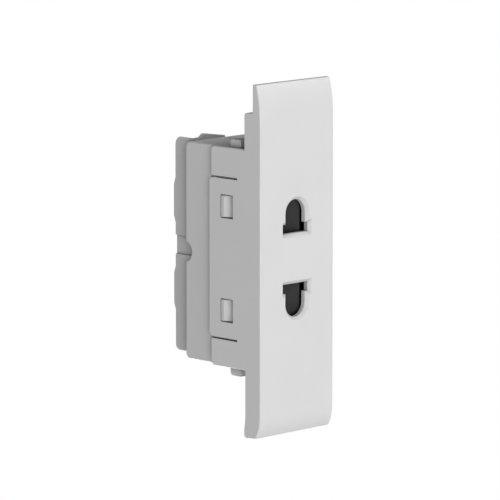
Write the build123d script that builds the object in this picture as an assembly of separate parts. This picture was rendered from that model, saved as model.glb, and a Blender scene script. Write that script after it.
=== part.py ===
from build123d import *
import os

# Socket module, two poles, for round or flat pins. Millimetres, front towards -Y, +Z up.
# Depths are measured back from the front face; the origin lies on the seat behind the plate.

# Front plate
plate_width = 21.8
plate_height = 74.67
plate_drop = 0.265
face_drop = 0.18
front_wall = 1.6
rim_wall = 1.2
seat_depth = 4.6
edge_chamfer = 0.18
corner_radius = 0.3
lip_depth = 2.4
lip_height = 6.05
top_curve = 9.25
top_pull = 3.25
top_drop = 1.2
bottom_curve = 4.8
bottom_pull = 2.25
bottom_drop = 1.3
bottom_rise = 0.3
foot_height = 4.5
foot_flare = 0.3
brow_flare = 0.26
back_rib = 1.0
back_rib_spacing = 6.8

# Pin openings
round_pitch = 19.1
arch_radius = 2.9
slot_half_width = 3.67
slot_inner = 5.3
slot_outer = 7.32
lip_chamfer = 0.62

# Skirts with their snap tongues
skirt_half_height = 23.3
skirt_depth = 14.85
skirt_radius = 0.9
skirt_edge = 0.5
tongue_depth = 15.05
tongue_radius = 1.1
slit_height = 17.07
slit_width = 0.42
slit_start = 6.85
window_height = 11.0
window_half = 2.49
window_start = 8.09
window_end = 11.73

# End walls and latch ribs, which click behind the mounting frame
end_wall_inner = 20.7
end_wall = 1.2
end_wall_depth = 12.65
latch_half_width = 9.0
latch_start = 7.6
latch_end = 10.7
latch_proud = 1.7
latch_radius = 0.8

# Base housing
fit_gap = 0.1
shoulder_gap = 0.15
base_inset = 0.8
base_front_wall = 1.0
base_side_wall = 1.0
base_half_height = 23.0
deck_rise = 0.3
base_depth = 23.15
base_floor = 1.25
base_corner = 1.1
driver_radius = 1.75
tooth_gap = 0.25
tooth_flat = 0.8
tooth_proud = 0.05
notch_radius = 2.25
notch_width = 2.05

# Terminal block
block_gap = 0.2
block_depth = 27.3
block_corner = 1.2
shelf_end = 2.6
shelf_drop = 0.3
ear_rise = 0.63
ear_end = -4.5
ear_radius = 1.8
guide_setback = 0.7
guide_wall = 0.8
guide_rise = 0.87
guide_start = -5.3
guide_crest = -3.6
guide_flat = 0.4
guide_radius = 0.5
saddle_low = -1.2
saddle_high = 2.85
saddle_inset = 0.4
band_proud = 0.5
band_slope = 1.4
bands = ((5.5, 15.1), (-13.2, -3.9))

# Shutter, its carrier and its spring
shutter_gap = 0.2
shutter_front = 2.4
shutter_back = 6.85
shutter_left = -2.9
shutter_crest = 0.3
shutter_toe = 0.7
shutter_half_height = 13.4
shutter_web = 4.4
shutter_travel = 6.15
guide_tongue = 1.6
guide_thickness = 1.2
guide_gap = 0.3
rail_wall = 1.2
rail_lip = 1.0
carrier_thickness = 1.3
carrier_gap = 0.3
passage_gap = 0.2
press_rib = 1.0
press_rib_height = 18.6
channel_left = -1.6
channel_half = 2.2
channel_skin = 1.0
post_width = 1.0
spring_wire = 0.35
spring_diameter = 2.6
spring_coils = 6

# Contact clips and backing springs
strip = 0.6
hoop = 0.35
clip_front = 9.45
clip_crest = 11.35
clip_bend = 14.35
clip_back = 15.45
clip_half_width = 3.9
round_half_gap = 1.9
flat_half_gap = 3.05
finger_flare = 0.75
finger_slit = 0.5
clip_bottom = 5.0
clip_top = 12.2
round_finger_top = 11.1
hoop_margin = 0.3
tail_half_width = 2.6
tail_end = 22.15

# Wire clamps
clamp_depth = 19.65
cage_length = 4.8
cage_wall = 1.0
cage_roof = 1.3
cage_gap = 0.2
wire_gap = 2.6
clamp_travel = 2.4
screw_radius = 1.7
screw_gap = 0.05
screw_head_radius = 2.5
screw_head = 2.0
screw_slot_width = 0.8
screw_slot_depth = 1.0
screw_length = 5.0
ledge = 0.8
chimney_gap = 0.25

# Places worked out from the sizes above
half_width = plate_width / 2
top = plate_height / 2 - plate_drop
bottom = top - plate_height
skirt_inner = half_width - rim_wall
end_wall_outer = end_wall_inner + end_wall
deck_low = end_wall_outer + fit_gap
base_top = base_half_height + deck_rise
latch_top = skirt_half_height + latch_proud
pin_height = round_pitch / 2
carrier_front = shutter_back + shutter_gap
base_front = carrier_front + carrier_thickness
base_step = tongue_depth + shoulder_gap
base_front_half = skirt_inner - fit_gap
base_front_top = end_wall_inner - block_gap
base_half = half_width - base_inset
block_half = base_half - base_side_wall - block_gap
block_front_half = base_front_half - base_front_wall - block_gap
block_step = base_step + base_front_wall + fit_gap
block_front_top = base_front_top - base_floor - block_gap
block_top = deck_low - block_gap
shelf_front = base_depth + block_gap
shelf_top = base_top - shelf_drop
ear_round = min(ear_radius, (block_depth - shelf_front) / 2)
guide_wall_front = shelf_front + guide_setback
shutter_right = skirt_inner - shutter_travel - shoulder_gap
tail_top = clip_top
tail_bottom = clip_top - strip
cage_floor = tail_bottom - wire_gap
cage_ceiling = tail_top + fit_gap
cage_inner = tail_half_width + cage_gap
cage_outer = cage_inner + cage_wall
cage_bottom = cage_floor - cage_wall
cage_top = cage_ceiling + cage_roof
chamber_half = cage_outer + cage_gap
chamber_bottom = cage_bottom - cage_gap
chamber_top = cage_top + clamp_travel + cage_gap
hoop_back = clip_back + strip / 2 + hoop
chamber_depth = hoop_back + fit_gap / 2
clamp_end = clamp_depth + cage_length / 2 + cage_gap
head_bottom = tail_top + screw_length
far = plate_height


def block(x0, x1, d0, d1, z0, z1):
    middle = Pos((x0 + x1) / 2, (d0 + d1) / 2 - seat_depth, (z0 + z1) / 2)
    return middle * Box(x1 - x0, d1 - d0, z1 - z0)


def rectangle(u0, u1, v0, v1):
    return Pos((u0 + u1) / 2, (v0 + v1) / 2) * Rectangle(u1 - u0, v1 - v0)


def across(side_view, x0, x1):
    # Side view drawn as depth and height, carried across the width.
    return extrude(Plane.YZ.offset(x0) * Pos(-seat_depth, 0) * side_view, x1 - x0)


def upward(plan, z0, z1):
    # Plan drawn as width and depth, carried up.
    return extrude(Plane.XY.offset(z0) * Pos(0, -seat_depth) * plan, z1 - z0)


def backward(front_view, d0, d1):
    # Front view drawn as width and height, carried back.
    return extrude(Plane.XZ.offset(seat_depth - d1) * front_view, d1 - d0)


def rounded(face, places, radius):
    # Rounds the corners of a flat outline that lie at the given points.
    corners = []
    for place in places:
        corners.append(face.vertices().sort_by_distance(Vector(*place))[0])
    return fillet(corners, radius)


def edges_at(solid, test):
    return [edge for edge in solid.edges() if test(edge.center(), edge)]


def pin_outline(gap):
    # Arch for a round pin above a wide slot for a flat blade.
    arch = Pos(0, pin_height) * Circle(arch_radius + gap)
    neck = rectangle(-arch_radius - gap, arch_radius + gap, slot_inner - gap, pin_height)
    slot = rectangle(-slot_half_width - gap, slot_half_width + gap, slot_inner - gap, slot_outer + gap)
    upper = arch + neck + slot
    lower = mirror(upper, about=Plane.XZ)
    return [Pos(0, -face_drop) * upper, Pos(0, -face_drop) * lower]


def plate_outline():
    heel = seat_depth + foot_flare
    heel_height = bottom + foot_height
    flare_pull = foot_height / 3
    step = top - lip_height
    front = Line((0, bottom + bottom_curve), (0, top - top_curve))
    upper = Bezier((0, top - top_curve), (0, top - top_pull), (top_drop, top))
    back = Polyline(
        (top_drop, top),
        (lip_depth, top),
        (lip_depth, step),
        (seat_depth + brow_flare, step),
        (seat_depth, -skirt_half_height),
        (seat_depth, heel_height),
    )
    flare = Bezier(
        (seat_depth, heel_height),
        (seat_depth, heel_height - flare_pull),
        (heel, heel_height - flare_pull),
        (heel, heel_height - 2 * flare_pull),
    )
    toe = (bottom_drop, bottom + bottom_rise)
    sole = Polyline((heel, heel_height - 2 * flare_pull), (heel, bottom), toe)
    lower = Bezier(toe, (0, bottom + bottom_pull), (0, bottom + bottom_curve))
    outline = make_face(front + upper + back + flare + sole + lower)
    outline = rounded(outline, [(lip_depth, step), (heel, bottom)], 2 * corner_radius)
    outline = rounded(outline, [(seat_depth + brow_flare, step)], latch_radius)
    return rounded(outline, [(top_drop, top), (lip_depth, top), toe], corner_radius)


def skirt_outline():
    skirt = rectangle(front_wall, skirt_depth, -skirt_half_height, skirt_half_height)
    rear_corners = [(skirt_depth, skirt_half_height), (skirt_depth, -skirt_half_height)]
    skirt = rounded(skirt, rear_corners, skirt_radius)
    tongue_top = slit_height - slit_width / 2 - face_drop
    tongue_bottom = -slit_height + slit_width / 2 - face_drop
    skirt -= rectangle(slit_start, far, tongue_bottom - slit_width, tongue_top + slit_width)
    tongue = rectangle(slit_start, tongue_depth, tongue_bottom, tongue_top)
    tongue = rounded(tongue, [(tongue_depth, tongue_top), (tongue_depth, tongue_bottom)], tongue_radius)
    skirt += tongue
    for side in (1, -1):
        middle = side * window_height - face_drop
        skirt -= rectangle(window_start, window_end, middle - window_half, middle + window_half)
    return skirt


def make_skirt(side):
    inner = side * skirt_inner
    outer = side * half_width
    skirt = across(skirt_outline(), min(inner, outer), max(inner, outer))
    outer_rims = edges_at(
        skirt,
        lambda middle, edge: abs(middle.X - outer) < 0.01
        and abs(middle.Z) > skirt_half_height - skirt_radius
        and middle.Y > front_wall - seat_depth + 0.01,
    )
    return fillet(outer_rims, skirt_edge)


def make_latch(crest):
    outline = rectangle(latch_start, latch_end, end_wall_inner, crest)
    outline = rounded(outline, [(latch_end, crest)], latch_radius)
    return across(outline, -latch_half_width, latch_half_width)


def make_front_cover():
    cover = across(plate_outline(), -half_width, half_width)
    front_edges = edges_at(
        cover,
        lambda middle, edge: abs(middle.X) > half_width - 0.01 and middle.Y < bottom_drop / 2 - seat_depth,
    )
    cover = chamfer(front_edges, edge_chamfer)
    hollow_top = top - lip_height - rim_wall
    hollow_bottom = bottom + rim_wall
    cover -= block(-skirt_inner, skirt_inner, front_wall, far, hollow_bottom, hollow_top)
    for side in (1, -1):
        cover += make_skirt(side)
        rib = side * back_rib_spacing / 2
        for low, high in ((end_wall_inner, hollow_top), (hollow_bottom, -end_wall_inner)):
            cover += block(rib - back_rib / 2, rib + back_rib / 2, front_wall, seat_depth, low, high)
    end_wall_block = block(
        -skirt_inner,
        skirt_inner,
        front_wall,
        end_wall_depth,
        end_wall_inner,
        end_wall_outer,
    )
    press = block(
        -skirt_inner,
        skirt_inner,
        front_wall,
        carrier_front,
        press_rib_height - press_rib / 2,
        press_rib_height + press_rib / 2,
    )
    for piece in (end_wall_block, press):
        cover += piece
        cover += mirror(piece, about=Plane.XY)
    cover += make_latch(latch_top - face_drop)
    cover += mirror(make_latch(latch_top + face_drop), about=Plane.XY)
    for outline in pin_outline(0):
        cover -= backward(outline, -front_wall, 2 * front_wall)
    lips = edges_at(
        cover,
        lambda middle, edge: abs(middle.Y + seat_depth) < 0.01
        and abs(middle.X) < slot_half_width + 0.01
        and slot_inner - 0.01 < abs(middle.Z + face_drop) < pin_height + arch_radius,
    )
    return chamfer(lips, lip_chamfer)


def tooth_plan(side):
    # Snap tooth in plan: a ramp that rises from the front, then a flat crest.
    foot = side * base_front_half
    crest = side * (half_width + tooth_proud)
    front = base_front + fit_gap
    back = window_end - slit_width / 2
    return make_face(
        Polyline(
            (foot, front),
            (foot + (crest - foot) / 8, front),
            (crest, back - tooth_flat),
            (crest, back),
            (foot, back),
            close=True,
        )
    )


def make_base_housing():
    front = block(-base_front_half, base_front_half, base_front, base_step, -base_front_top, base_front_top)
    rear_view = rectangle(base_step, base_depth, -base_half_height, base_top)
    rear_view = rounded(rear_view, [(base_depth, base_top), (base_depth, -base_half_height)], base_corner)
    rear = across(rear_view, -base_half, base_half)
    long_edges = edges_at(
        rear,
        lambda middle, edge: abs(middle.X) > base_half - 0.01 and middle.Y > base_step - seat_depth + 0.01,
    )
    rear = fillet(long_edges, base_side_wall / 2)
    housing = front + rear
    for foot, crown in ((base_front_top, base_top), (-base_half_height, -base_front_top)):
        housing += block(
            -base_front_half, base_front_half, latch_end + shoulder_gap, base_step, foot, crown
        )
    slot_height = end_wall_outer + fit_gap
    for low, high in ((base_front_top, slot_height), (-slot_height, -base_front_top)):
        housing -= block(-far, far, 0, end_wall_depth + fit_gap, low, high)
    inner = base_half - base_side_wall
    front_inner = base_front_half - base_front_wall
    front_inner_top = base_front_top - base_floor
    housing -= block(-front_inner, front_inner, 0, far, -front_inner_top, front_inner_top)
    housing -= block(-inner, inner, base_step + base_front_wall, far, -deck_low, deck_low)
    housing -= Pos(0, clamp_depth - seat_depth, 0) * Cylinder(driver_radius, far)
    notch = Pos(base_depth - notch_width + notch_radius, -face_drop) * Circle(notch_radius)
    tooth_half = window_half - tooth_gap
    for side in (1, -1):
        outer = side * base_half * 1.1
        near = side * inner
        housing -= across(notch, min(outer, near), max(outer, near))
        for place in (1, -1):
            middle = place * window_height - face_drop
            housing += upward(tooth_plan(side), middle - tooth_half, middle + tooth_half)
    return housing


def rear_outline():
    rear = rectangle(block_step, block_depth, -block_top, block_top)
    return rounded(rear, [(block_depth, -block_top), (block_depth, block_top)], block_corner)


def make_shelf():
    # Raised left part behind the housing, highest along its left edge, with a low guide wall across it.
    root = block_top - block_corner
    ear_top = base_top + ear_rise
    front_view = make_face(
        Polyline(
            (-block_half, root),
            (-block_half, ear_top),
            (ear_end, shelf_top),
            (shelf_end, shelf_top),
            (shelf_end, root),
            close=True,
        )
    )
    side_view = rectangle(shelf_front, block_depth, root, ear_top)
    side_view = rounded(side_view, [(block_depth, ear_top)], ear_round)
    shelf = backward(front_view, shelf_front, block_depth) & across(side_view, -block_half, shelf_end)
    guide_top = base_top + guide_rise
    crest = [(guide_crest, guide_top), (guide_crest + guide_flat, guide_top)]
    guide = make_face(
        Polyline(
            (guide_start, shelf_top),
            *crest,
            (shelf_end, base_top),
            (shelf_end, root),
            (guide_start, root),
            close=True,
        )
    )
    guide = rounded(guide, crest, guide_radius)
    return shelf + backward(guide, guide_wall_front, guide_wall_front + guide_wall)


def band_outline(low, high):
    # Raised band across the back, with sloped ends.
    root = block_depth - saddle_inset
    crest = block_depth + band_proud
    return make_face(
        Polyline(
            (root, low),
            (block_depth, low),
            (crest, low + band_slope),
            (crest, high - band_slope),
            (block_depth, high),
            (root, high),
            close=True,
        )
    )


def pole_room():
    # Everything cut out of the block for the upper pole.
    axis = Pos(0, clamp_depth - seat_depth, 0)
    room = block(
        -clip_half_width - block_corner,
        clip_half_width + block_corner,
        0,
        chamber_depth,
        clip_bottom - base_front_wall,
        chamber_top,
    )
    room += block(-chamber_half, chamber_half, 0, clamp_end, chamber_bottom, chamber_top)
    shank = screw_radius + chimney_gap
    seat = head_bottom - fit_gap
    room += axis * Pos(0, 0, (chamber_top + seat) / 2) * Cylinder(shank, seat - chamber_top + ledge)
    chimney = screw_head_radius + chimney_gap
    room += axis * Pos(0, 0, (seat + far) / 2) * Cylinder(chimney, far - seat)
    wire_height = (cage_floor + tail_bottom) / 2
    mouth = Pos(0, wire_height) * SlotOverall(2 * cage_inner, wire_gap + cage_gap)
    room += backward(mouth, clamp_depth, far)
    back = block_depth + band_proud
    flared = offset(mouth, 2 * cage_gap)
    room += loft(
        [
            Plane.XZ.offset(seat_depth - back + 3 * cage_gap) * mouth,
            Plane.XZ.offset(seat_depth - back) * flared,
        ]
    )
    return room


def make_terminal_block():
    body = block(
        -block_front_half,
        block_front_half,
        base_front + fit_gap,
        block_step,
        -block_front_top,
        block_front_top,
    )
    rear = across(rear_outline(), -block_half, block_half)
    for low, high in bands:
        rear += across(band_outline(low, high), -block_half, block_half)
    groove_side = block_half - saddle_inset
    for side in (1, -1):
        near = side * groove_side
        rear -= block(min(near, side * far), max(near, side * far), 0, far, saddle_low, saddle_high)
    body += rear
    body += make_shelf()
    room = pole_room()
    body -= room
    body -= mirror(room, about=Plane.XY)
    return body


def make_shutter():
    # Wedge in plan: pins that press on its slope push it to the right.
    plan = make_face(
        Polyline(
            (shutter_left, shutter_back),
            (shutter_left, shutter_back - shutter_toe),
            (shutter_right - shutter_crest, shutter_front),
            (shutter_right, shutter_front),
            (shutter_right, shutter_back),
            close=True,
        )
    )
    shutter = upward(plan, -shutter_half_height, shutter_half_height)
    shutter += block(shutter_left, shutter_right, shutter_front, shutter_back, -shutter_web, shutter_web)
    reach = shutter_half_height + guide_tongue
    guide_front = shutter_back - guide_thickness
    shutter += block(shutter_left, shutter_right, guide_front, shutter_back, -reach, reach)
    shutter -= block(
        channel_left, far, shutter_front + channel_skin, far, -channel_half, channel_half
    )
    return shutter


def make_shutter_carrier():
    half = skirt_inner - carrier_gap
    plate_top = base_front_top - carrier_gap
    carrier = block(-half, half, carrier_front, base_front, -plate_top, plate_top)
    for outline in pin_outline(passage_gap):
        carrier -= backward(outline, 0, far)
    stop = shutter_left - fit_gap
    rail_left = stop - rail_wall
    rail_right = half - shutter_gap
    tongue_end = shutter_half_height + guide_tongue + shutter_gap
    lip_start = shutter_half_height + guide_gap
    lip_back = shutter_back - guide_thickness - guide_gap
    lip_front = lip_back - rail_lip
    rail_top = tongue_end + rail_wall
    rail = block(rail_left, rail_right, lip_front, carrier_front, tongue_end, rail_top)
    rail += block(rail_left, rail_right, lip_front, lip_back, lip_start, tongue_end)
    rail += block(rail_left, stop, lip_front, carrier_front, lip_start, rail_top)
    carrier += rail
    carrier += mirror(rail, about=Plane.XY)
    post_half = channel_half - guide_gap
    post_front = shutter_front + channel_skin + shutter_gap
    carrier += block(rail_right - post_width, rail_right, post_front, carrier_front, -post_half, post_half)
    return carrier


def make_shutter_spring():
    start = channel_left + spring_wire / 2
    end = skirt_inner - carrier_gap - shutter_gap - post_width - spring_wire / 2
    mean_radius = (spring_diameter - spring_wire) / 2
    middle = carrier_front - shutter_gap - guide_gap / 2 - spring_diameter / 2 - seat_depth
    length = end - start
    path = Helix(length / spring_coils, length, mean_radius, center=(start, middle, 0), direction=(1, 0, 0))
    section = Plane(origin=path @ 0, z_dir=path % 0) * RegularPolygon(spring_wire / 2, 6)
    return sweep(section, path)


def clip_line(half_gap):
    # One U of the clip in plan: flared mouth, gripping crest, bend and back.
    crest = half_gap + strip / 2
    right = [
        (clip_half_width, clip_back),
        (clip_half_width, clip_bend),
        (crest, clip_crest),
        (crest + finger_flare, clip_front),
    ]
    left = [(-u, v) for u, v in reversed(right)]
    return FilletPolyline(*left, *right, radius=strip)


def make_contact_clip():
    round_finger_bottom = slot_outer + finger_slit
    clip = upward(trace(clip_line(round_half_gap), strip), round_finger_bottom, round_finger_top)
    clip += upward(trace(clip_line(flat_half_gap), strip), clip_bottom, slot_outer)
    flat_half = clip_half_width - strip
    back = clip_back - strip / 2
    clip += block(-flat_half, flat_half, back, back + strip, clip_bottom, clip_top)
    return clip + block(-tail_half_width, tail_half_width, back, tail_end, tail_bottom, tail_top)


def make_backing_spring():
    behind = strip / 2 + hoop / 2 + fit_gap / 4
    beside = behind * 1.2
    crest = round_half_gap + strip / 2
    right = [
        (clip_half_width + beside, clip_back + behind),
        (clip_half_width + beside, clip_bend),
        (crest + beside, clip_crest),
    ]
    left = [(-u, v) for u, v in reversed(right)]
    line = FilletPolyline(*left, *right, radius=2 * strip)
    low = slot_outer + finger_slit + hoop_margin
    return upward(trace(line, hoop), low, round_finger_top - hoop_margin)


def make_terminal_cage():
    front = clamp_depth - cage_length / 2
    back = clamp_depth + cage_length / 2
    cage = block(-cage_outer, cage_outer, front, back, cage_bottom, cage_top)
    long_edges = edges_at(
        cage,
        lambda middle, edge: abs(middle.X) > cage_inner
        and abs(middle.Y - clamp_depth + seat_depth) < 0.01,
    )
    cage = fillet(long_edges, cage_wall / 2)
    cage -= block(-cage_inner, cage_inner, 0, far, cage_floor, cage_ceiling)
    hole = Cylinder(screw_radius + screw_gap, far)
    return cage - Pos(0, clamp_depth - seat_depth, cage_top + far / 2 - cage_roof - fit_gap) * hole


def make_terminal_screw():
    shank = Cylinder(screw_radius, screw_length, align=(Align.CENTER, Align.CENTER, Align.MIN))
    head = Cylinder(screw_head_radius, screw_head, align=(Align.CENTER, Align.CENTER, Align.MIN))
    rim = edges_at(head, lambda middle, edge: middle.Z > screw_head - 0.01)
    head = chamfer(rim, screw_head / 6)
    slot = Box(far, screw_slot_width, 2 * screw_slot_depth)
    screw = shank + Pos(0, 0, screw_length) * head
    screw -= Pos(0, 0, screw_length + screw_head) * slot
    return Pos(0, clamp_depth - seat_depth, tail_top) * screw


pieces = {
    "front_cover": make_front_cover(),
    "base_housing": make_base_housing(),
    "terminal_block": make_terminal_block(),
    "shutter_carrier": make_shutter_carrier(),
    "shutter": make_shutter(),
    "shutter_spring": make_shutter_spring(),
}
upper_pole = {
    "contact_clip": make_contact_clip(),
    "backing_spring": make_backing_spring(),
    "terminal_cage": make_terminal_cage(),
    "terminal_screw": make_terminal_screw(),
}
for name, solid in upper_pole.items():
    pieces[name + "_upper"] = solid
    pieces[name + "_lower"] = mirror(solid, about=Plane.XY)

os.makedirs("parts", exist_ok=True)
for name, solid in pieces.items():
    export_step(solid, os.path.join("parts", name + ".step"))
    print(name, round(solid.volume, 2))
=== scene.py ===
import math

import bmesh
import bpy
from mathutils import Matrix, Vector


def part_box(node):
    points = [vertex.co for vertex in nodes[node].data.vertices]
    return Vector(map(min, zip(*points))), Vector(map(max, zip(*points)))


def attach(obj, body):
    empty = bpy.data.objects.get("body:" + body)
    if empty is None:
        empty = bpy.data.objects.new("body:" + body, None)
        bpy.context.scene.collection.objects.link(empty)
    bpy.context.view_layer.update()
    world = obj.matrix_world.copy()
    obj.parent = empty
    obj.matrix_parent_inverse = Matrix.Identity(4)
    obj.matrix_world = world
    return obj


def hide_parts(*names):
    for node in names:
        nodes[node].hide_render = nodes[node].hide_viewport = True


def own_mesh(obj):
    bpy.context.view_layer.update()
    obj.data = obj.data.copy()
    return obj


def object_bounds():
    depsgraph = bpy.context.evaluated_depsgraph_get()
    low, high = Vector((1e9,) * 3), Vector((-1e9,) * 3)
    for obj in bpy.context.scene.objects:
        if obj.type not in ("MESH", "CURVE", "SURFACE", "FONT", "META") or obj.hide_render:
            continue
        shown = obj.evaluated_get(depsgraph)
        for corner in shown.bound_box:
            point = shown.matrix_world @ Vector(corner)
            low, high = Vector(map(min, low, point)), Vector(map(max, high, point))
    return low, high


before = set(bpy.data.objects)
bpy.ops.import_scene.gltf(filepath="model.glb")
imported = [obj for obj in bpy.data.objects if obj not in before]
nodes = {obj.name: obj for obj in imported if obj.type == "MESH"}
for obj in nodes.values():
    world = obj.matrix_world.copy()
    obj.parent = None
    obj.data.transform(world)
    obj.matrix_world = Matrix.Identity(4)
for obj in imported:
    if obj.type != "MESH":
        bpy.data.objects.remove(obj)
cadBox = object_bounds()
scene = bpy.context.scene
print("socket module loaded:", len(nodes), "pieces")

mm = 0.001
noiseSpan = (0.3, 0.7)  # most values of Blender's noise lie in here


def mat(name):
    m = bpy.data.materials.new(name)
    m.use_nodes = True
    tree = m.node_tree
    tree.nodes.clear()
    out = tree.nodes.new("ShaderNodeOutputMaterial")
    bsdf = tree.nodes.new("ShaderNodeBsdfPrincipled")
    tree.links.new(bsdf.outputs[0], out.inputs[0])
    return m, tree, bsdf


def noise(tree, scale, detail=2.0, stretch=None):
    coords = tree.nodes.new("ShaderNodeTexCoord")
    tex = tree.nodes.new("ShaderNodeTexNoise")
    tex.inputs["Scale"].default_value = scale
    tex.inputs["Detail"].default_value = detail
    if stretch:
        squeeze = tree.nodes.new("ShaderNodeMapping")
        squeeze.inputs["Scale"].default_value = stretch
        tree.links.new(coords.outputs["Object"], squeeze.inputs["Vector"])
        tree.links.new(squeeze.outputs[0], tex.inputs["Vector"])
    else:
        tree.links.new(coords.outputs["Object"], tex.inputs["Vector"])
    return tex.outputs[0]


def spread(tree, source, low, high):
    r = tree.nodes.new("ShaderNodeMapRange")
    r.inputs["From Min"].default_value = noiseSpan[0]
    r.inputs["From Max"].default_value = noiseSpan[1]
    r.inputs["To Min"].default_value = low
    r.inputs["To Max"].default_value = high
    tree.links.new(source, r.inputs["Value"])
    return r.outputs[0]


def tint(tree, source, colour, sway):
    ramp = tree.nodes.new("ShaderNodeValToRGB")
    ends = ramp.color_ramp.elements
    ends[0].position = noiseSpan[0]
    ends[1].position = noiseSpan[1]
    ends[0].color = [c * (1 - sway) for c in colour] + [1]
    ends[1].color = [min(1, c * (1 + sway)) for c in colour] + [1]
    tree.links.new(source, ramp.inputs[0])
    return ramp.outputs[0]


edgeSamples = 6


def softEdge(tree, height, depth, edge):
    # fine surface grain over slightly rounded edges
    bump = tree.nodes.new("ShaderNodeBump")
    bump.inputs["Strength"].default_value = 1.0
    bump.inputs["Distance"].default_value = depth
    tree.links.new(height, bump.inputs["Height"])
    roundOff = tree.nodes.new("ShaderNodeBevel")
    roundOff.samples = edgeSamples
    roundOff.inputs["Radius"].default_value = edge
    tree.links.new(roundOff.outputs[0], bump.inputs["Normal"])
    return bump.outputs[0]


# painted shade: the span of occlusion over which gaps and corners are darkened in the base colour
paintedShadeRange = dict(samples=8, shut=0.4, clear=0.95)  # darkest when this shut in, untouched when this clear


def paintShadeIn(tree, colour, reach, darkest):
    # painted shade: ambient occlusion darkens the base colour in narrow gaps and inner corners, where
    # shade falls
    paintedShade = tree.nodes.new("ShaderNodeAmbientOcclusion")
    paintedShade.samples = paintedShadeRange["samples"]
    paintedShade.inputs["Distance"].default_value = reach
    lift = tree.nodes.new("ShaderNodeMapRange")
    lift.inputs["From Min"].default_value = paintedShadeRange["shut"]
    lift.inputs["From Max"].default_value = paintedShadeRange["clear"]
    lift.inputs["To Min"].default_value = darkest
    tree.links.new(paintedShade.outputs["AO"], lift.inputs["Value"])
    mix = tree.nodes.new("ShaderNodeMix")
    mix.data_type = "RGBA"
    mix.blend_type = "MULTIPLY"
    mix.inputs[0].default_value = 1.0
    tree.links.new(colour, mix.inputs[6])  # sockets 6 and 7 are the two colours
    tree.links.new(lift.outputs[0], mix.inputs[7])
    return mix.outputs[2]


# Moulded plastics: satin grey shells, dark shutter and carrier (painted shade in gaps and corners =
# reach in metres, darkest share)
plasticGrain = dict(cloud=90, cloudDetail=3, fine=2600, depth=0.006 * mm, edge=0.08 * mm, roughSway=0.05,
                    specular=0.35, ior=1.5)
finishes = {
    "cover": dict(colour=(0.74, 0.74, 0.74), rough=0.4, paintedShade=(0.003, 0.4)),
    "body": dict(colour=(0.69, 0.69, 0.69), rough=0.52, paintedShade=(0.002, 0.6)),
    # the terminal block is the same grey plastic as the body; its darker colour is painted shade for its
    # shaded rear faces and top trough
    "block": dict(colour=(0.608, 0.608, 0.608), rough=0.52, paintedShade=(0.006, 0.35)),
    "shutter": dict(colour=(0.028, 0.028, 0.028), rough=0.55, sway=0.05, paintedShade=(0.005, 0.05)),
    "carrier": dict(colour=(0.02, 0.02, 0.02), rough=0.6, sway=0.05),
}


def mouldedPlastic(name, colour, rough, sway=0.012, paintedShade=None):
    g = plasticGrain
    m, tree, bsdf = mat(name)
    cloudy = noise(tree, g["cloud"], g["cloudDetail"])
    fine = noise(tree, g["fine"])
    tone = tint(tree, cloudy, colour, sway)
    # painted shade in gaps and corners, multiplied into the base colour
    if paintedShade:
        tone = paintShadeIn(tree, tone, *paintedShade)
    rougher = spread(tree, fine, rough - g["roughSway"], rough + g["roughSway"])
    tree.links.new(tone, bsdf.inputs["Base Color"])
    tree.links.new(rougher, bsdf.inputs["Roughness"])
    tree.links.new(softEdge(tree, fine, g["depth"], g["edge"]), bsdf.inputs["Normal"])
    bsdf.inputs["Specular IOR Level"].default_value = g["specular"]
    bsdf.inputs["IOR"].default_value = g["ior"]
    return m


# Rolled and drawn metals: fine lines along the strip or wire
metalGrain = dict(cloud=260, cloudDetail=3, lines=1400, depth=0.004 * mm, edge=0.08 * mm, sway=0.06,
                  smoother=0.08, rougher=0.1)
metals = {
    "brass": dict(colour=(0.78, 0.57, 0.26), rough=0.32, stretch=(1, 1, 6)),
    "springSteel": dict(colour=(0.55, 0.55, 0.56), rough=0.3, stretch=(1, 6, 1)),
    "zincSteel": dict(colour=(0.66, 0.66, 0.63), rough=0.38, stretch=(1, 1, 5)),
}


def rolledMetal(name, colour, rough, stretch):
    g = metalGrain
    m, tree, bsdf = mat(name)
    lines = noise(tree, g["lines"], stretch=stretch)
    cloudy = noise(tree, g["cloud"], g["cloudDetail"])
    uneven = spread(tree, lines, rough - g["smoother"], rough + g["rougher"])
    tree.links.new(tint(tree, cloudy, colour, g["sway"]), bsdf.inputs["Base Color"])
    tree.links.new(uneven, bsdf.inputs["Roughness"])
    tree.links.new(softEdge(tree, lines, g["depth"], g["edge"]), bsdf.inputs["Normal"])
    bsdf.inputs["Metallic"].default_value = 1.0
    return m


finish = {k: mouldedPlastic(k + "Plastic", **v) for k, v in finishes.items()}
finish.update({k: rolledMetal(k, **v) for k, v in metals.items()})
wears = {
    "front_cover": "cover",
    "base_housing": "body",
    "terminal_block": "block",
    "shutter": "shutter",
    "shutter_carrier": "carrier",
    "contact_clip_upper": "brass",
    "contact_clip_lower": "brass",
    "backing_spring_upper": "springSteel",
    "backing_spring_lower": "springSteel",
    "terminal_cage_upper": "zincSteel",
    "terminal_cage_lower": "zincSteel",
}


def dress(mesh, which):
    mesh.materials.clear()
    mesh.materials.append(finish[which])


for node, which in wears.items():
    dress(nodes[node].data, which)
print("plastics and metals on", len(wears), "pieces")


def added(name, data):
    thing = bpy.data.objects.new(name, data)
    scene.collection.objects.link(thing)
    return thing


def meshFrom(bm, name):
    mesh = bpy.data.meshes.new(name)
    bm.to_mesh(mesh)
    bm.free()
    return mesh


def skin(bm, rings):
    # closed tube through rings of equal count, capped at both ends
    around = len(rings[0])
    for here, there in zip(rings, rings[1:]):
        for j in range(around):
            n = (j + 1) % around
            bm.faces.new((here[j], here[n], there[n], there[j]))
    bm.faces.new(list(reversed(rings[0])))
    bm.faces.new(rings[-1])


def shadeSmooth(mesh):
    mesh.polygons.foreach_set("use_smooth", [True] * len(mesh.polygons))


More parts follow.
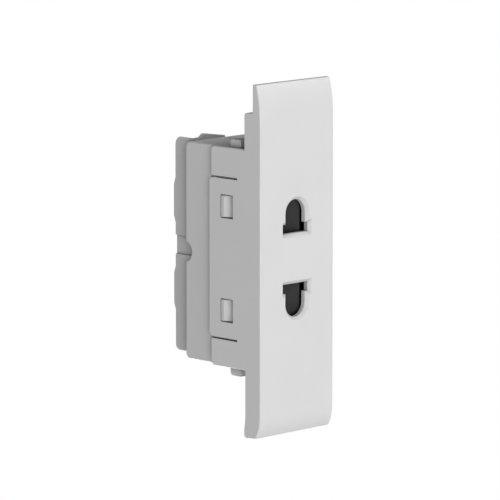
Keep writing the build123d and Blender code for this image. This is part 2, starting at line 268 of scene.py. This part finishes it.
# Clamp screws: right-hand thread and slotted head, in place of the plain ones (mm)
clampScrew = dict(
    core=1.36, crest=1.68, pitch=0.6, tip=1.0, runIn=0.5, neck=0.4,
    flankLift=1.4, flankSlope=3.6,  # flat crest and root, sloped flanks
    headRadius=2.5, headHeight=2.0, headChamfer=0.33, underChamfer=0.11,
    slotWidth=0.8, slotDepth=1.0, slotReach=7.5,
    steps=10, around=48, sharpAngle=32,
)


def threadHeight(along, length):
    # full thread, fading at the tip and under the head
    c = clampScrew
    return max(0.0, min(1.0, along / c["runIn"], (length - c["neck"] - along) / c["runIn"]))


def screwProfile(length):
    # distance along, radius and thread height
    c = clampScrew
    profile = []
    count = round(length / c["pitch"] * c["steps"])
    for k in range(count + 1):
        along = length * k / count
        profile.append((along, min(c["core"], c["tip"] + along), threadHeight(along, length)))
    top = length + c["headHeight"]
    return profile + [
        (length, c["headRadius"] - c["underChamfer"], 0),
        (length + c["underChamfer"], c["headRadius"], 0),
        (top - c["headChamfer"], c["headRadius"], 0),
        (top, c["headRadius"] - c["headChamfer"], 0),
    ]


def turnedScrew(length):
    c = clampScrew
    bm = bmesh.new()
    rings = []
    for along, radius, height in screwProfile(length):
        ring = []
        for j in range(c["around"]):
            share = j / c["around"]
            offCrest = abs((along / c["pitch"] - share) % 1.0 - 0.5)
            flank = max(0.0, min(1.0, c["flankLift"] - c["flankSlope"] * offCrest))
            r = (radius + (c["crest"] - c["core"]) * flank * height) * mm
            a = 2 * math.pi * share
            ring.append(bm.verts.new((r * math.cos(a), r * math.sin(a), along * mm)))
        rings.append(ring)
    skin(bm, rings)
    return bm


def slotCutter(top):
    # a bar across the head, half above it
    c = clampScrew
    bm = bmesh.new()
    bmesh.ops.create_cube(bm, size=1)
    size = Vector((c["slotReach"], c["slotWidth"], 2 * c["slotDepth"])) * mm
    for v in bm.verts:
        v.co = Vector([a * b for a, b in zip(v.co, size)]) + Vector((0, 0, top * mm))
    return bm


def slottedScrew(node, body):
    c = clampScrew
    low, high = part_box(node)
    length = (high.z - low.z) / mm - c["headHeight"]
    screw = added(node + "Threaded", meshFrom(turnedScrew(length), node + "Threaded"))
    blade = added("screwSlot", meshFrom(slotCutter(length + c["headHeight"]), "screwSlot"))
    cut = screw.modifiers.new("slot", "BOOLEAN")
    cut.object = blade
    cut.solver = "EXACT"
    bpy.context.view_layer.update()
    cutScrew = screw.evaluated_get(bpy.context.evaluated_depsgraph_get())
    mesh = bpy.data.meshes.new_from_object(cutScrew)
    screw.modifiers.clear()
    bpy.data.objects.remove(blade)
    screw.data = mesh
    dress(mesh, "zincSteel")
    shadeSmooth(mesh)
    mesh.set_sharp_from_angle(angle=math.radians(c["sharpAngle"]))
    headUp = node.endswith("upper")
    middle = (low + high) / 2
    screw.location = (middle.x, middle.y, low.z if headUp else high.z)
    if not headUp:
        screw.rotation_euler = (math.pi, 0, 0)
    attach(screw, body)
    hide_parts(node)
    return len(mesh.polygons)


screwFaces = [slottedScrew("terminal_screw_" + end, "clamp_screw_" + end) for end in ("upper", "lower")]
print("clamp screws threaded, faces:", screwFaces)

# Shutter spring: round wire, closed end coils, squeezed against its post as the shutter opens (mm)
closingSpring = dict(wire=0.35, coils=8, endCoils=1, travel=6.15, steps=30, around=10, nudge=0.01)


def coilSpring(node):
    c = closingSpring
    low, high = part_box(node)
    wire = c["wire"] * mm / 2
    reach = (high.z - low.z) / 2 - wire
    middle = (low + high) / 2
    first, last = low.x + wire, high.x - wire
    endRun = c["endCoils"] * 2 * wire  # end coils lie wire to wire
    openRun = last - first - 2 * endRun
    openCoils = c["coils"] - 2 * c["endCoils"]

    def along(turns):
        if turns < c["endCoils"]:
            return first + endRun * turns / c["endCoils"]
        if turns > c["coils"] - c["endCoils"]:
            return last - endRun * (c["coils"] - turns) / c["endCoils"]
        return first + endRun + openRun * (turns - c["endCoils"]) / openCoils

    bm = bmesh.new()
    rings = []
    for k in range(c["coils"] * c["steps"] + 1):
        turns = k / c["steps"]
        a = 2 * math.pi * turns
        outward = Vector((0, math.cos(a), math.sin(a)))
        before, after = max(turns - c["nudge"], 0), min(turns + c["nudge"], c["coils"])
        rise = (along(after) - along(before)) / (2 * c["nudge"])
        sweep = 2 * math.pi * reach
        forward = Vector((rise, -sweep * math.sin(a), sweep * math.cos(a))).normalized()
        across = forward.cross(outward)
        centre = Vector((along(turns), middle.y, middle.z)) + outward * reach
        ring = []
        for j in range(c["around"]):
            b = 2 * math.pi * j / c["around"]
            ring.append(bm.verts.new(centre + (outward * math.cos(b) + across * math.sin(b)) * wire))
        rings.append(ring)
    skin(bm, rings)
    bmesh.ops.recalc_face_normals(bm, faces=bm.faces)
    mesh = meshFrom(bm, "shutterCoil")
    dress(mesh, "springSteel")
    shadeSmooth(mesh)
    spring = added("shutterCoil", mesh)
    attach(spring, "housing")
    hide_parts(node)
    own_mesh(spring)
    return len(mesh.polygons)


print("shutter spring wound, faces:", coilSpring("shutter_spring"))

# Backdrop: a pale floor well below, so that the module hangs free as in a catalogue picture
backdrop = dict(drop=1.2, reach=60.0, white=1.0)
bpy.ops.mesh.primitive_plane_add(size=backdrop["reach"], location=(0, 0, cadBox[0].z - backdrop["drop"]))
floor = bpy.context.object
floor.name = "paleFloor"
floorMat = bpy.data.materials.new("paleFloor")
floorMat.use_nodes = True
floorTree = floorMat.node_tree
floorTree.nodes.clear()
floorGlow = floorTree.nodes.new("ShaderNodeEmission")
floorGlow.inputs["Strength"].default_value = backdrop["white"]
floorOut = floorTree.nodes.new("ShaderNodeOutputMaterial")
floorTree.links.new(floorGlow.outputs[0], floorOut.inputs[0])
floor.data.materials.append(floorMat)
floor.visible_diffuse = False
floor.visible_glossy = False
floor.visible_shadow = False
print("pale floor laid")

# Light: soft boxes all round over an even glow
# turn counts from the front towards the left and rise from level, in degrees
lighting = dict(
    glow=0.12,
    boxes=dict(
        key=dict(turn=25, rise=0, away=1.2, size=0.6, power=5.5),
        cross=dict(turn=-50, rise=28, away=1.2, size=0.6, power=5.5),
        high=dict(turn=4, rise=42, away=1.2, size=0.6, power=2.2),
        left=dict(turn=62, rise=0, away=1.2, size=0.6, power=2.25),
        side=dict(turn=90, rise=12, away=1.2, size=0.6, power=2.65),
        low=dict(turn=0, rise=-55, away=1.2, size=0.6, power=3.75),
        back=dict(turn=206, rise=-25, away=1.2, size=0.8, power=10.0),
        right=dict(turn=262, rise=-25, away=1.2, size=0.8, power=3.2),
    ),
)
world = bpy.data.worlds.new("studio")
scene.world = world
world.use_nodes = True
worldTree = world.node_tree
sky = worldTree.nodes["Background"]
path = worldTree.nodes.new("ShaderNodeLightPath")
seen = worldTree.nodes.new("ShaderNodeMapRange")
seen.inputs["To Min"].default_value = lighting["glow"]
seen.inputs["To Max"].default_value = backdrop["white"]
worldTree.links.new(path.outputs["Is Camera Ray"], seen.inputs["Value"])
worldTree.links.new(seen.outputs[0], sky.inputs["Strength"])
sky.inputs["Color"].default_value = (1, 1, 1, 1)


def softBox(name, turn, rise, away, size, power):
    lamp = bpy.data.lights.new(name, "AREA")
    lamp.shape = "DISK"
    lamp.size = size
    lamp.energy = power
    box = added(name, lamp)
    t, r = math.radians(turn), math.radians(rise)
    toward = Vector((-math.sin(t) * math.cos(r), -math.cos(t) * math.cos(r), math.sin(r)))
    box.location = toward * away
    box.rotation_mode = "QUATERNION"
    box.rotation_quaternion = (-toward).to_track_quat("-Z", "Y")


for boxName, place in lighting["boxes"].items():
    softBox(boxName, **place)
scene.view_settings.view_transform = "Standard"
scene.view_settings.look = "None"
print("lights set")

# Camera: long lens from the front left, a little above (degrees, mm)
shot = dict(
    turn=45.0, tilt=9.05, away=892.25, right=9.745, up=-1.719, aim=(0, -4.45, -0.18),
    lens=307.44, sensor=36, near=10, far=200000,
)
turn, tilt = math.radians(shot["turn"]), math.radians(shot["tilt"])
ahead = Vector((math.sin(turn) * math.cos(tilt), math.cos(turn) * math.cos(tilt), -math.sin(tilt)))
toRight = ahead.cross(Vector((0, 0, 1))).normalized()
upward = toRight.cross(ahead)
aim = Vector(shot["aim"])
camData = bpy.data.cameras.new("catalogueCamera")
camData.lens = shot["lens"]
camData.sensor_width = shot["sensor"]
camData.clip_start = shot["near"] * mm
camData.clip_end = shot["far"] * mm
cam = added("catalogueCamera", camData)
cam.location = (aim - ahead * shot["away"] - toRight * shot["right"] - upward * shot["up"]) * mm
cam.rotation_mode = "QUATERNION"
cam.rotation_quaternion = ahead.to_track_quat("-Z", "Y")
scene.camera = cam
print("camera set")
